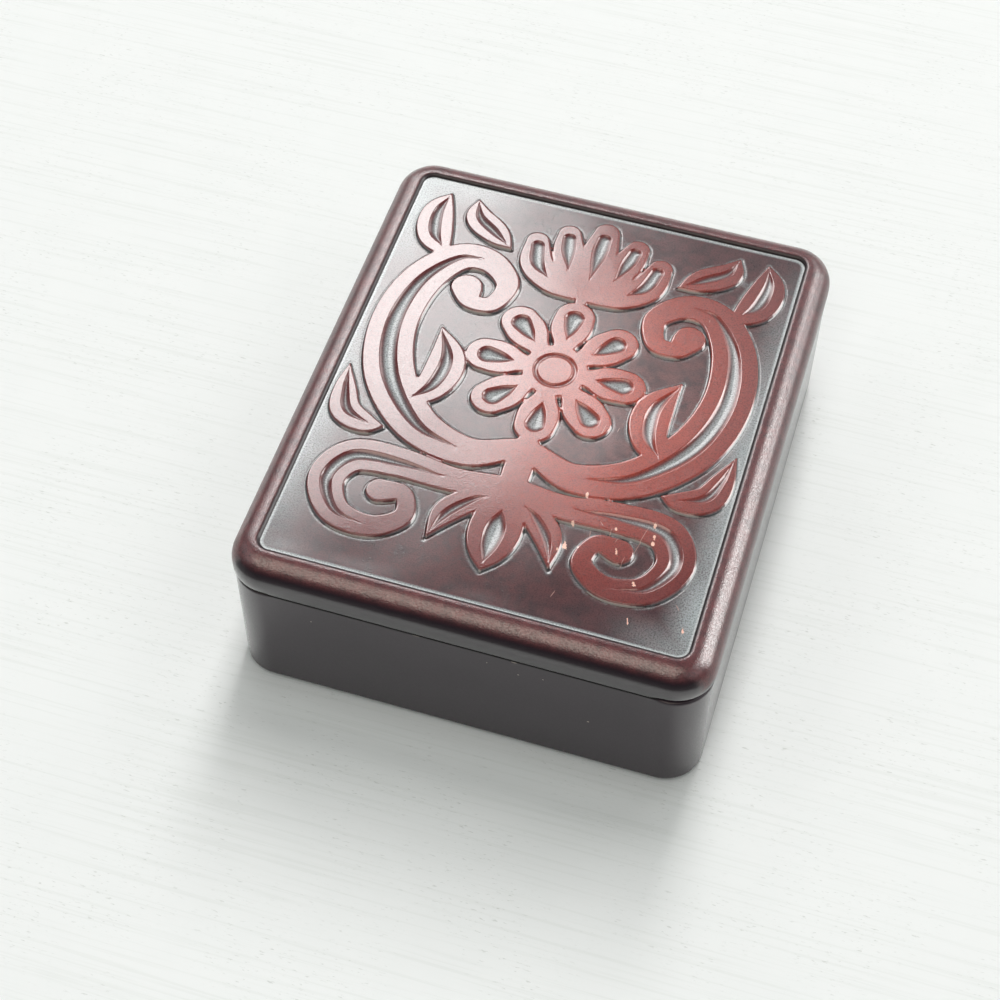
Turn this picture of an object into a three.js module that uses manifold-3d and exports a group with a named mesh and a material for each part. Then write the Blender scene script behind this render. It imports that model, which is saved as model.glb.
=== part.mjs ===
// A keepsake box of cast resin: a deep base with rounded corners, and a lift-off lid whose sunk
// field carries a plant ornament in low relief. Linings of velvet on card, and felt underneath.
// Millimetres, +Z up. Origin at the middle of the underside, +X to the right, -Y to the front.

import * as THREE from "three";
import { mergeVertices } from "three/addons/utils/BufferGeometryUtils.js";
import Module from "manifold-3d";

const wasm = await Module();
wasm.setup();

// Overall size
const lidWidth = 106.6;
const lidLength = 127;
const boxHeight = 42.1;
const lidCornerRadius = 9;

// Lid, from the seam to the top of its frame
const lidEdgeHeight = 8.2;
const lidBandHeight = 2.2;
const lidLowerRounding = 0.5;
const frameWidth = 6;
const frameRounding = 5.4;
const fieldDepth = 0.8;
const fieldStepRun = 0.5;

// Hollow of the lid and the rib that locates it in the base
const lidHollowDepth = 2.6;
const ribHeight = 3;
const ribWidth = 3;
const ribClearance = 0.5;
const ribLowerRounding = 0.5;

// Base
const seamGap = 0.3;
const lidOverhang = 0.35;
const wallThickness = 5;
const floorThickness = 4.5;
const rimRounding = 0.5;
const footRounding = 1;
const leastCornerRadius = 1.5;

// Felt under the base, in a shallow recess
const feltThickness = 0.8;
const feltProud = 0.3;
const feltMargin = 4;
const feltFit = 0.3;

// Linings of velvet on card
const floorLiningThickness = 1.5;
const wallLiningThickness = 1.2;
const lidLiningThickness = 1.2;
const liningFit = 0.3;
const liningRounding = 0.4;
const wallLiningRibGap = 0.8;
const buttGap = 0.8;

// Relief on the sunk field, and the hollows carved into its tops
const reliefHeight = 0.8;
const carvingDepth = 0.4;

// How far a cutting solid runs past what it cuts
const cutOverrun = 1;

// Fineness of the round stretches
const cornerSteps = 7;
const roundingSteps = 6;
const arrisSteps = 3;
const strokeStepsPerSpan = 3;
const capSteps = 4;
const discSteps = 20;

// Worked out from the sizes above
const baseWidth = lidWidth - 2 * lidOverhang;
const baseLength = lidLength - 2 * lidOverhang;
const baseCornerRadius = lidCornerRadius - lidOverhang;
const baseTop = boxHeight - lidEdgeHeight - seamGap;
const floorTop = feltThickness + floorThickness;
const lidBottom = boxHeight - lidEdgeHeight;
const fieldTop = boxHeight - fieldDepth;
const reliefTop = fieldTop + reliefHeight;
const ribInset = lidOverhang + wallThickness + ribClearance;
const hollowInset = ribInset + ribWidth;
const hollowTop = lidBottom + lidHollowDepth;
const ribBottom = lidBottom - ribHeight;
const wallLiningInset = wallThickness + liningFit;
const floorLiningInset = wallLiningInset + wallLiningThickness + liningFit;
const wallLiningTop = ribBottom - wallLiningRibGap;
const fieldHalfWidth = lidWidth / 2 - frameWidth;
const fieldHalfLength = lidLength / 2 - frameWidth;

const lidPlan = { width: lidWidth, length: lidLength, cornerRadius: lidCornerRadius };
const basePlan = { width: baseWidth, length: baseLength, cornerRadius: baseCornerRadius };

// Colours and finishes
const resinFinish = { color: 0x4a3436, roughness: 0.36, metalness: 0 };
const baseFinish = { color: 0x3a3237, roughness: 0.34, metalness: 0 };
const velvetFinish = { color: 0x2b1a22, roughness: 0.95, metalness: 0 };
const feltFinish = { color: 0x1d1f1e, roughness: 1, metalness: 0 };

// Strokes of the relief. Each row is a place along the stroke's middle line and its half width:
// x as a share of the field's half width, y of its half length, the half width of the former.
const sideStrokeShares = {
  upperScroll: [
    [0.04, -0.28, 0.06],
    [0.26, -0.35, 0.085],
    [0.53, -0.28, 0.11],
    [0.74, -0.08, 0.125],
    [0.825, 0.165, 0.12],
    [0.79, 0.41, 0.11],
    [0.66, 0.58, 0.09],
    [0.5, 0.6, 0.075],
    [0.375, 0.505, 0.06],
    [0.41, 0.385, 0.05],
    [0.515, 0.375, 0.052],
    [0.56, 0.44, 0.08],
  ],
  lowerScroll: [
    [0.04, -0.465, 0.06],
    [0.27, -0.49, 0.07],
    [0.52, -0.475, 0.085],
    [0.74, -0.495, 0.095],
    [0.82, -0.62, 0.09],
    [0.73, -0.755, 0.075],
    [0.55, -0.785, 0.06],
    [0.42, -0.71, 0.05],
    [0.455, -0.61, 0.045],
    [0.565, -0.62, 0.065],
  ],
  sideLeaf: [
    [0.66, -0.33, 0],
    [0.76, -0.335, 0.055],
    [0.87, -0.295, 0.075],
    [0.915, -0.195, 0.055],
    [0.945, -0.065, 0],
  ],
  cornerLeaf: [
    [0.74, 0.59, 0.03],
    [0.82, 0.68, 0.09],
    [0.85, 0.8, 0.08],
    [0.82, 0.92, 0],
  ],
  browLeaf: [
    [0.42, 0.69, 0],
    [0.53, 0.755, 0.07],
    [0.64, 0.82, 0.07],
    [0.68, 0.92, 0],
  ],
  innerLeaf: [
    [0.62, -0.195, 0.03],
    [0.525, -0.08, 0.085],
    [0.51, 0.06, 0.09],
    [0.6, 0.22, 0],
  ],
  innerLobe: [
    [0.05, 0.525, 0.03],
    [0.105, 0.635, 0.065],
    [0.15, 0.75, 0.08],
    [0.175, 0.84, 0.06],
  ],
  outerLobe: [
    [0.07, 0.525, 0.03],
    [0.18, 0.57, 0.07],
    [0.28, 0.65, 0.085],
    [0.315, 0.765, 0.06],
  ],
  sepal: [
    [0.03, -0.495, 0.04],
    [0.15, -0.56, 0.065],
    [0.24, -0.64, 0.065],
    [0.29, -0.775, 0],
  ],
};
const middleStrokeShares = {
  stem: [
    [0, -0.25, 0.06],
    [0, -0.37, 0.07],
    [0, -0.51, 0.06],
  ],
  topLobe: [
    [0, 0.495, 0.03],
    [0, 0.61, 0.065],
    [0, 0.765, 0.09],
    [0, 0.89, 0.065],
  ],
  bud: [
    [0, -0.51, 0.06],
    [0, -0.625, 0.12],
    [0, -0.725, 0.105],
    [0, -0.855, 0],
  ],
};

// Hollows carved into those strokes, in rows of the same kind.
const sideCarvingShares = {
  upperScroll: [
    [0.3, -0.345, 0],
    [0.53, -0.28, 0.026],
    [0.74, -0.08, 0.042],
    [0.825, 0.165, 0.04],
    [0.79, 0.41, 0.03],
    [0.66, 0.575, 0.016],
    [0.53, 0.605, 0],
  ],
  lowerScroll: [
    [0.3, -0.49, 0],
    [0.52, -0.477, 0.022],
    [0.74, -0.495, 0.032],
    [0.82, -0.62, 0.03],
    [0.73, -0.752, 0.018],
    [0.58, -0.787, 0],
  ],
  sideLeaf: [
    [0.74, -0.335, 0],
    [0.86, -0.295, 0.022],
    [0.91, -0.2, 0.016],
    [0.935, -0.1, 0],
  ],
  cornerLeaf: [
    [0.76, 0.62, 0],
    [0.825, 0.69, 0.03],
    [0.848, 0.8, 0.026],
    [0.825, 0.895, 0],
  ],
  browLeaf: [
    [0.45, 0.705, 0],
    [0.54, 0.76, 0.024],
    [0.635, 0.82, 0.022],
    [0.672, 0.9, 0],
  ],
  innerLeaf: [
    [0.6, -0.165, 0],
    [0.525, -0.075, 0.03],
    [0.512, 0.06, 0.03],
    [0.59, 0.195, 0],
  ],
  innerLobe: [
    [0.115, 0.64, 0],
    [0.15, 0.745, 0.034],
    [0.168, 0.815, 0.034],
  ],
  outerLobe: [
    [0.2, 0.585, 0],
    [0.275, 0.65, 0.034],
    [0.305, 0.74, 0.034],
  ],
  sepal: [
    [0.09, -0.525, 0],
    [0.155, -0.565, 0.018],
    [0.235, -0.645, 0.022],
    [0.28, -0.745, 0],
  ],
};
const middleCarvingShares = {
  topLobe: [
    [0, 0.62, 0],
    [0, 0.76, 0.036],
    [0, 0.85, 0.036],
  ],
  bud: [
    [0, -0.57, 0],
    [0, -0.65, 0.045],
    [0, -0.73, 0.04],
    [0, -0.82, 0],
  ],
};

// Rosette: petals round a heart with a carved ring, all but the centre's place as shares of the
// field's half width. A petal's rows run from its inner reach to its outer one.
const petalCount = 8;
const rosetteCentreShare = 0.13;
const petalReachShares = [0.13, 0.345];
const petalHalfWidthShares = [0.045, 0.068, 0.1, 0.098];
const petalCarvingReachShares = [0.2, 0.335];
const petalCarvingHalfWidthShares = [0, 0.032, 0.05];
const heartShare = 0.16;
const heartRingShares = [0.08, 0.108];

// A closed mesh as a solid that can be joined and cut.
function solidFrom(geometry) {
  geometry.deleteAttribute("normal");
  geometry.deleteAttribute("uv");
  const merged = mergeVertices(geometry);
  return new wasm.Manifold(
    new wasm.Mesh({
      numProp: 3,
      vertProperties: merged.attributes.position.array,
      triVerts: new Uint32Array(merged.index.array),
    }),
  );
}

// A solid as a named mesh with flat faces.
function meshFrom(solid, name, finish) {
  const made = solid.getMesh();
  const geometry = new THREE.BufferGeometry();
  geometry.setAttribute("position", new THREE.BufferAttribute(made.vertProperties, 3));
  geometry.setIndex(new THREE.BufferAttribute(made.triVerts, 1));
  const flat = geometry.toNonIndexed();
  flat.computeVertexNormals();
  const mesh = new THREE.Mesh(flat, new THREE.MeshStandardMaterial(finish));
  mesh.name = name;
  return mesh;
}

// The rounded rectangle that lies a given inset inside a plan, at a given height, anticlockwise.
function ringOf(plan, inset, z) {
  const radius = Math.max(plan.cornerRadius - inset, leastCornerRadius);
  const reachX = plan.width / 2 - inset - radius;
  const reachY = plan.length / 2 - inset - radius;
  const corners = [
    [reachX, reachY],
    [-reachX, reachY],
    [-reachX, -reachY],
    [reachX, -reachY],
  ];
  const points = [];
  corners.forEach(([x, y], quarter) => {
    for (let step = 0; step <= cornerSteps; step++) {
      const angle = (quarter + step / cornerSteps) * (Math.PI / 2);
      points.push([x + radius * Math.cos(angle), y + radius * Math.sin(angle), z]);
    }
  });
  return points;
}

// The solid whose skin runs through rings of equally many points. The skin goes from a face that
// looks down, in the first ring, to one that looks up, in the last, or joins up with itself.
function solidThroughRings(rings, joined = false) {
  const count = rings[0].length;
  const index = [];
  const last = joined ? rings.length : rings.length - 1;
  for (let row = 0; row < last; row++) {
    const below = row * count;
    const above = ((row + 1) % rings.length) * count;
    for (let i = 0; i < count; i++) {
      const next = (i + 1) % count;
      index.push(below + i, below + next, above + next);
      index.push(below + i, above + next, above + i);
    }
  }
  if (!joined) {
    const top = (rings.length - 1) * count;
    for (let i = 1; i < count - 1; i++) {
      index.push(0, i + 1, i);
      index.push(top, top + i, top + i + 1);
    }
  }
  const geometry = new THREE.BufferGeometry();
  geometry.setAttribute("position", new THREE.Float32BufferAttribute(rings.flat(2), 3));
  geometry.setIndex(index);
  return solidFrom(geometry);
}

// Points, as inset and height, round a quarter ellipse between two points, without the first.
function quarterPoints([fromInset, fromZ], [toInset, toZ], startsUpright, steps) {
  const points = [];
  for (let step = 1; step <= steps; step++) {
    const angle = (step / steps) * (Math.PI / 2);
    const late = 1 - Math.cos(angle);
    const early = Math.sin(angle);
    const across = startsUpright ? late : early;
    const up = startsUpright ? early : late;
    points.push([fromInset + (toInset - fromInset) * across, fromZ + (toZ - fromZ) * up]);
  }
  return points;
}

// The solid whose section follows a profile of inset and height all the way round a plan.
function solidAround(plan, profile, joined = false) {
  return solidThroughRings(
    profile.map(([inset, z]) => ringOf(plan, inset, z)),
    joined,
  );
}

// The lid's casting without its relief, from the hollow's ceiling round the edge to the field.
function lidBody() {
  const ribFoot = [ribInset + ribLowerRounding, ribBottom];
  const edgeFoot = [lidLowerRounding, lidBottom];
  const bandTop = [0, lidBottom + lidBandHeight];
  return solidAround(lidPlan, [
    [hollowInset, hollowTop],
    [hollowInset, ribBottom],
    ribFoot,
    ...quarterPoints(ribFoot, [ribInset, ribBottom + ribLowerRounding], false, arrisSteps),
    [ribInset, lidBottom],
    edgeFoot,
    ...quarterPoints(edgeFoot, [0, lidBottom + lidLowerRounding], false, arrisSteps),
    bandTop,
    ...quarterPoints(bandTop, [frameRounding, boxHeight], true, roundingSteps),
    [frameWidth, boxHeight],
    [frameWidth + fieldStepRun, fieldTop],
  ]);
}

// A row of a stroke table as a place in millimetres whose third value is the half width there.
function strokePlace([x, y, halfWidth]) {
  return new THREE.Vector3(x * fieldHalfWidth, y * fieldHalfLength, halfWidth * fieldHalfWidth);
}

// The places of strokes that stand round the rosette's centre, one for each petal.
function petalPlaces([innerShare, outerShare], halfWidthShares) {
  const last = halfWidthShares.length - 1;
  return Array.from({ length: petalCount }, (_, number) => {
    const angle = (number / petalCount) * 2 * Math.PI;
    return halfWidthShares.map((halfWidthShare, i) => {
      const reach = (innerShare + (outerShare - innerShare) * (i / last)) * fieldHalfWidth;
      return new THREE.Vector3(
        reach * Math.sin(angle),
        rosetteCentreShare * fieldHalfLength + reach * Math.cos(angle),
        halfWidthShare * fieldHalfWidth,
      );
    });
  });
}

// The places of all strokes in a pair of tables, those at the sides on both sides.
function tablePlaces(sideShares, middleShares) {
  const sides = Object.values(sideShares).map((rows) => rows.map(strokePlace));
  const mirrored = sides.map((places) => places.map(({ x, y, z }) => new THREE.Vector3(-x, y, z)));
  const middles = Object.values(middleShares).map((rows) => rows.map(strokePlace));
  return [...sides, ...mirrored, ...middles];
}

// The half circle, or the point, that closes a stroke's end, from one side to the other.
function capPoints(centre, across, halfWidth) {
  const points = [];
  for (let step = 1; step < capSteps; step++) {
    const turned = across.clone().rotateAround(new THREE.Vector2(), (step / capSteps) * -Math.PI);
    points.push(turned.multiplyScalar(halfWidth).add(centre));
  }
  return halfWidth > 0 ? points : [];
}

// The outline of a stroke: a smooth middle line through the places, with a half width at each.
function strokeShape(places) {
  const spine = new THREE.CatmullRomCurve3(places, false, "catmullrom", 0.5);
  const steps = (places.length - 1) * strokeStepsPerSpan;
  const left = [];
  const right = [];
  let centre;
  let across;
  let firstCap;
  for (let step = 0; step <= steps; step++) {
    const at = spine.getPoint(step / steps);
    const along = spine.getTangent(step / steps);
    centre = new THREE.Vector2(at.x, at.y);
    across = new THREE.Vector2(-along.y, along.x).normalize();
    left.push(centre.clone().addScaledVector(across, at.z));
    if (at.z > 0) right.unshift(centre.clone().addScaledVector(across, -at.z));
    firstCap ??= capPoints(centre, across.clone().negate(), at.z);
  }
  const lastCap = capPoints(centre, across, places[places.length - 1].z);
  return new THREE.Shape([...left, ...lastCap, ...right, ...firstCap]);
}

// A disc round the rosette's centre.
function discShape(radiusShare) {
  const disc = new THREE.Shape();
  const centreY = rosetteCentreShare * fieldHalfLength;
  disc.absarc(0, centreY, radiusShare * fieldHalfWidth, 0, 2 * Math.PI);
  return disc;
}

// Upright prisms over the shapes, from one height to another, joined.
function prismsOver(shapes, fromZ, toZ) {
  return shapes
    .map((shape) => {
      const geometry = new THREE.ExtrudeGeometry(shape, {
        depth: toZ - fromZ,
        curveSegments: discSteps,
        bevelEnabled: false,
      });
      geometry.translate(0, 0, fromZ);
      return solidFrom(geometry);
    })
    .reduce((joined, solid) => joined.add(solid));
}

// Everything that stands up from the field, rooted in the casting below it.
function reliefBody() {
  const strokes = tablePlaces(sideStrokeShares, middleStrokeShares);
  const petals = petalPlaces(petalReachShares, petalHalfWidthShares);
  const shapes = [discShape(heartShare), ...[...strokes, ...petals].map(strokeShape)];
  return prismsOver(shapes, (fieldTop + hollowTop) / 2, reliefTop);
}

// What is carved out of the relief's tops.
function carvingBody() {
  const strokes = tablePlaces(sideCarvingShares, middleCarvingShares);
  const petals = petalPlaces(petalCarvingReachShares, petalCarvingHalfWidthShares);
  const ring = discShape(heartRingShares[1]);
  ring.holes.push(discShape(heartRingShares[0]));
  const shapes = [ring, ...[...strokes, ...petals].map(strokeShape)];
  return prismsOver(shapes, reliefTop - carvingDepth, reliefTop + cutOverrun);
}

function makeLid() {
  return meshFrom(lidBody().add(reliefBody()).subtract(carvingBody()), "lid", resinFinish);
}

// The base, from the felt recess underneath round the foot and over the rim to the inside floor.
function makeBaseShell() {
  const recessInset = feltMargin - feltFit;
  const foot = [footRounding, feltProud];
  const outerRim = [0, baseTop - rimRounding];
  const innerRim = [wallThickness - rimRounding, baseTop];
  const body = solidAround(basePlan, [
    [recessInset, feltThickness],
    [recessInset, feltProud],
    foot,
    ...quarterPoints(foot, [0, feltProud + footRounding], false, arrisSteps),
    outerRim,
    ...quarterPoints(outerRim, [rimRounding, baseTop], true, arrisSteps),
    innerRim,
    ...quarterPoints(innerRim, [wallThickness, baseTop - rimRounding], false, arrisSteps),
    [wallThickness, floorTop],
  ]);
  return meshFrom(body, "base_shell", baseFinish);
}

function makeUndersideFelt() {
  const body = solidAround(basePlan, [
    [feltMargin, 0],
    [feltMargin, feltThickness],
  ]);
  return meshFrom(body, "underside_felt", feltFinish);
}

// The pad on the inside floor, its velvet rounded over the card's upper edge.
function makeFloorLining() {
  const top = floorTop + floorLiningThickness;
  const shoulder = [floorLiningInset, top - liningRounding];
  const body = solidAround(basePlan, [
    [floorLiningInset, floorTop],
    shoulder,
    ...quarterPoints(shoulder, [floorLiningInset + liningRounding, top], true, arrisSteps),
  ]);
  return meshFrom(body, "floor_lining", velvetFinish);
}

// One strip round the four inside walls, whose ends butt at the middle of the back.
function makeWallLining() {
  const inner = wallLiningInset + wallLiningThickness;
  const shoulder = [wallLiningInset, wallLiningTop - liningRounding];
  const crown = [wallLiningInset + liningRounding, wallLiningTop];
  const ring = solidAround(
    basePlan,
    [
      [wallLiningInset, floorTop],
      shoulder,
      ...quarterPoints(shoulder, crown, true, arrisSteps),
      [inner - liningRounding, wallLiningTop],
      ...quarterPoints(
        [inner - liningRounding, wallLiningTop],
        [inner, wallLiningTop - liningRounding],
        false,
        arrisSteps,
      ),
      [inner, floorTop],
    ],
    true,
  );
  const gapDepth = wallLiningThickness + 2 * cutOverrun;
  const gapHeight = wallLiningTop - floorTop + 2 * cutOverrun;
  const gap = new THREE.BoxGeometry(buttGap, gapDepth, gapHeight);
  const stripMiddle = (wallLiningInset + inner) / 2;
  gap.translate(0, baseLength / 2 - stripMiddle, (floorTop + wallLiningTop) / 2);
  return meshFrom(ring.subtract(solidFrom(gap)), "wall_lining", velvetFinish);
}

// The pad in the lid's hollow, its velvet rounded over the card's lower edge.
function makeLidLining() {
  const inset = hollowInset + liningFit;
  const bottom = hollowTop - lidLiningThickness;
  const lowerEdge = [inset + liningRounding, bottom];
  const body = solidAround(lidPlan, [
    lowerEdge,
    ...quarterPoints(lowerEdge, [inset, bottom + liningRounding], false, arrisSteps),
    [inset, hollowTop],
  ]);
  return meshFrom(body, "lid_lining", velvetFinish);
}

const base = new THREE.Group();
base.add(makeBaseShell(), makeUndersideFelt(), makeFloorLining(), makeWallLining());

const lid = new THREE.Group();
lid.add(makeLid(), makeLidLining());

const box = new THREE.Group();
box.add(base, lid);

export default box;
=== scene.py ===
"""A keepsake box of cast resin with a relief lid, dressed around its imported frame.

Metres, +Z up, -Y to the front. Lengths are written in millimetres times mm.
"""

import math

import bpy
import numpy as np
from mathutils import Matrix, Vector
from mathutils.geometry import delaunay_2d_cdt


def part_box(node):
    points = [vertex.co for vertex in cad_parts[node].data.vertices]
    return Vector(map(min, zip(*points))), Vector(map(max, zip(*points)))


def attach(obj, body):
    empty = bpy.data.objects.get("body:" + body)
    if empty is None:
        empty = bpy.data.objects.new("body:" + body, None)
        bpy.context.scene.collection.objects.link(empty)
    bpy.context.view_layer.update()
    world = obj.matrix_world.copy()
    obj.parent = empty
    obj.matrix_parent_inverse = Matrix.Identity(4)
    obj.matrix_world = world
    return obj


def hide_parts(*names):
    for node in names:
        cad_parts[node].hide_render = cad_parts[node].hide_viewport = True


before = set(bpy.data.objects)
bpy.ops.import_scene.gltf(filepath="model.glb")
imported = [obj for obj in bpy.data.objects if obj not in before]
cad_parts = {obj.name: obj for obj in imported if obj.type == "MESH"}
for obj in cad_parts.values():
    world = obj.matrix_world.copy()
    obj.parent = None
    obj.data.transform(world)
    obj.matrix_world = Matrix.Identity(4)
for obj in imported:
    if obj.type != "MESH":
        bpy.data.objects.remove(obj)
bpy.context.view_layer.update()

mm = 0.001

# Places that the frame gives
lid_low, lid_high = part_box("lid")
base_low, base_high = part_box("base_shell")
felt_low, felt_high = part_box("underside_felt")
floor_pad_low, floor_pad_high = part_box("floor_lining")
wall_strip_low, wall_strip_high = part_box("wall_lining")
_, lid_pad_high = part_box("lid_lining")
box_height = lid_high.z
rib_bottom = lid_low.z
base_top = base_high.z
base_bottom = base_low.z

# Sizes of the construction that the frame's boxes don't give
lid_corner_radius = 9 * mm
least_corner_radius = 1.5 * mm
seam_gap = 0.3 * mm
lid_overhang = 0.35 * mm
lid_band_height = 2.2 * mm
lid_lower_rounding = 0.5 * mm
frame_width = 6 * mm
frame_rounding = 5.4 * mm
field_depth = 0.8 * mm
field_step_run = 0.5 * mm
rib_width = 3 * mm
rib_clearance = 0.5 * mm
rib_rounding = 0.5 * mm
wall_thickness = 5 * mm
rim_rounding = 0.5 * mm
foot_rounding = 1 * mm
felt_fit = 0.3 * mm
wall_strip_thickness = 1.2 * mm
lining_rounding = 0.4 * mm
butt_gap = 0.8 * mm
relief_height = 0.8 * mm

# Worked out from those
lid_bottom = base_top + seam_gap
field_top = box_height - field_depth
field_half_width = lid_high.x - frame_width
field_half_length = lid_high.y - frame_width
step_inset = frame_width + field_step_run
rib_inset = lid_overhang + wall_thickness + rib_clearance
hollow_inset = rib_inset + rib_width
hollow_top = lid_pad_high.z
felt_inset = base_high.x - felt_high.x
wall_strip_inset = base_high.x - wall_strip_high.x
floor_pad_inset = base_high.x - floor_pad_high.x
lid_pad_inset = lid_high.x - lid_pad_high.x
lid_plan = (lid_high.x, lid_high.y, lid_corner_radius)
base_plan = (base_high.x, base_high.y, lid_corner_radius - lid_overhang)

# Fineness of the meshes
ring_cell = 1 * mm
ring_corner_steps = 14
frame_round_steps = 16
frame_flank_steps = 7
foot_round_steps = 5
rim_round_steps = 4
hem_round_steps = 3
relief_cell = 0.4 * mm
open_cell_steps = 3
line_clearance = 0.15 * mm
probes_per_cell = 20
drawing_rounds = 3
least_steepness = 0.25
guard_run = 0.2 * mm
wall_guard_run = 3 * mm
spine_steps_per_span = 8
pad_cell = 3 * mm
weld_share = 1e-4
crease_degrees = 60

# The relief's section
near_reach = 3 * mm
wall_half_run = 0.13 * mm
edge_round = 0.17 * mm
edge_drop = 0.06 * mm
foot_run = 0.4 * mm
foot_dip = 0.1 * mm
carving_depth = 0.62 * mm
carving_slope = 0.62
carving_lip = 0.12 * mm
undulation = 0.04 * mm
undulation_length = 23 * mm
undulation_margin = 4 * mm

# The two waves that make up the undulation: the rate, the bend and the rate of the bend
cross_wave = (6.3, 1.3, 2.1)
long_wave = (5.1, 1.7, 3.3)

# The lid's lower edge lifts, and the base's rim dips, at the two front corners
left_lift, left_dip = 0.35 * mm, 0.4 * mm
right_lift, right_dip = 0.7 * mm, 0.8 * mm
corner_gap_reach = 3.5 * mm

# How far the pads swell over their edges
floor_pad_crown = 0.35 * mm
lid_pad_crown = 0.3 * mm
crown_reach = 9 * mm

# Strokes of the relief, as in the construction. A row is a place along the stroke's middle line
# and its half width: x and the half width as shares of the field's half width, y of its length's.
side_stroke_shares = dict(
    upper_scroll=[
        (0.04, -0.28, 0.06), (0.26, -0.35, 0.085), (0.53, -0.28, 0.11), (0.74, -0.08, 0.125),
        (0.825, 0.165, 0.12), (0.79, 0.41, 0.11), (0.66, 0.58, 0.09), (0.5, 0.6, 0.075),
        (0.375, 0.505, 0.06), (0.41, 0.385, 0.05), (0.515, 0.375, 0.052), (0.56, 0.44, 0.08),
    ],
    lower_scroll=[
        (0.04, -0.465, 0.06), (0.27, -0.49, 0.07), (0.52, -0.475, 0.085), (0.74, -0.495, 0.095),
        (0.82, -0.62, 0.09), (0.73, -0.755, 0.075), (0.55, -0.785, 0.06), (0.42, -0.71, 0.05),
        (0.455, -0.61, 0.045), (0.565, -0.62, 0.065),
    ],
    side_leaf=[
        (0.66, -0.33, 0), (0.76, -0.335, 0.055), (0.87, -0.295, 0.075), (0.915, -0.195, 0.055),
        (0.945, -0.065, 0),
    ],
    corner_leaf=[(0.74, 0.59, 0.03), (0.82, 0.68, 0.09), (0.85, 0.8, 0.08), (0.82, 0.92, 0)],
    brow_leaf=[(0.42, 0.69, 0), (0.53, 0.755, 0.07), (0.64, 0.82, 0.07), (0.68, 0.92, 0)],
    inner_leaf=[(0.62, -0.195, 0.03), (0.525, -0.08, 0.085), (0.51, 0.06, 0.09), (0.6, 0.22, 0)],
    inner_lobe=[
        (0.05, 0.525, 0.03), (0.105, 0.635, 0.065), (0.15, 0.75, 0.08), (0.175, 0.84, 0.06),
    ],
    outer_lobe=[
        (0.07, 0.525, 0.03), (0.18, 0.57, 0.07), (0.28, 0.65, 0.085), (0.315, 0.765, 0.06),
    ],
    sepal=[(0.03, -0.495, 0.04), (0.15, -0.56, 0.065), (0.24, -0.64, 0.065), (0.29, -0.775, 0)],
)
middle_stroke_shares = dict(
    stem=[(0, -0.25, 0.06), (0, -0.37, 0.07), (0, -0.51, 0.06)],
    top_lobe=[(0, 0.495, 0.03), (0, 0.61, 0.065), (0, 0.765, 0.09), (0, 0.89, 0.065)],
    bud=[(0, -0.51, 0.06), (0, -0.625, 0.12), (0, -0.725, 0.105), (0, -0.855, 0)],
)

# Hollows carved into those strokes, in rows of the same kind
side_carving_shares = dict(
    upper_scroll=[
        (0.3, -0.345, 0), (0.53, -0.28, 0.026), (0.74, -0.08, 0.042), (0.825, 0.165, 0.04),
        (0.79, 0.41, 0.03), (0.66, 0.575, 0.016), (0.53, 0.605, 0),
    ],
    lower_scroll=[
        (0.3, -0.49, 0), (0.52, -0.477, 0.022), (0.74, -0.495, 0.032), (0.82, -0.62, 0.03),
        (0.73, -0.752, 0.018), (0.58, -0.787, 0),
    ],
    side_leaf=[(0.74, -0.335, 0), (0.86, -0.295, 0.022), (0.91, -0.2, 0.016), (0.935, -0.1, 0)],
    corner_leaf=[(0.76, 0.62, 0), (0.825, 0.69, 0.03), (0.848, 0.8, 0.026), (0.825, 0.895, 0)],
    brow_leaf=[(0.45, 0.705, 0), (0.54, 0.76, 0.024), (0.635, 0.82, 0.022), (0.672, 0.9, 0)],
    inner_leaf=[(0.6, -0.165, 0), (0.525, -0.075, 0.03), (0.512, 0.06, 0.03), (0.59, 0.195, 0)],
    inner_lobe=[(0.115, 0.64, 0), (0.15, 0.745, 0.034), (0.168, 0.815, 0.034)],
    outer_lobe=[(0.2, 0.585, 0), (0.275, 0.65, 0.034), (0.305, 0.74, 0.034)],
    sepal=[(0.09, -0.525, 0), (0.155, -0.565, 0.018), (0.235, -0.645, 0.022), (0.28, -0.745, 0)],
)
middle_carving_shares = dict(
    top_lobe=[(0, 0.62, 0), (0, 0.76, 0.036), (0, 0.85, 0.036)],
    bud=[(0, -0.57, 0), (0, -0.65, 0.045), (0, -0.73, 0.04), (0, -0.82, 0)],
)

# The rosette, all but its centre's place as shares of the field's half width
petal_count = 8
rosette_centre_share = 0.13
petal_reach_shares = (0.13, 0.345)
petal_half_width_shares = (0.045, 0.068, 0.1, 0.098)
petal_carving_reach_shares = (0.2, 0.335)
petal_carving_half_width_shares = (0, 0.032, 0.05)
heart_share = 0.16
heart_ring_shares = (0.08, 0.108)

# Where the grey glaze has pooled in the sunk field, in millimetres: x, y and the reach each way
glaze_pools = [(50, -8, 24, 80), (48, -46, 24, 26), (-44, 50, 30, 34), (-50, -20, 20, 60)]

# Where the ground is redder at the front, and where all is redder, in the same terms
warm_patch = (-4, -47, 40, 20)
hot_patch = (16, 4, 46, 72)

# Knocks on the lid's top that show the pale casting, in millimetres: x, y, length and width
chip_marks = [
    (16.2, -23.5, 1.5, 0.8), (15.4, -31.5, 1.3, 0.7), (15.2, -37.3, 2, 0.9),
    (24.5, -30.3, 1, 0.5), (26.2, -35.9, 1.8, 0.6), (32.2, -27, 1.6, 0.7),
    (32.9, -30, 1.2, 0.6), (32.9, -31.6, 1.7, 0.7), (31.8, -42.8, 1.4, 0.7),
    (32.9, -51.7, 2.4, 0.3), (17.9, -37.2, 0.8, 0.6), (14, -39, 0.7, 0.5),
    (44.3, -50.4, 1.6, 0.5),
]
chip_lean_degrees = 107

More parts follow.
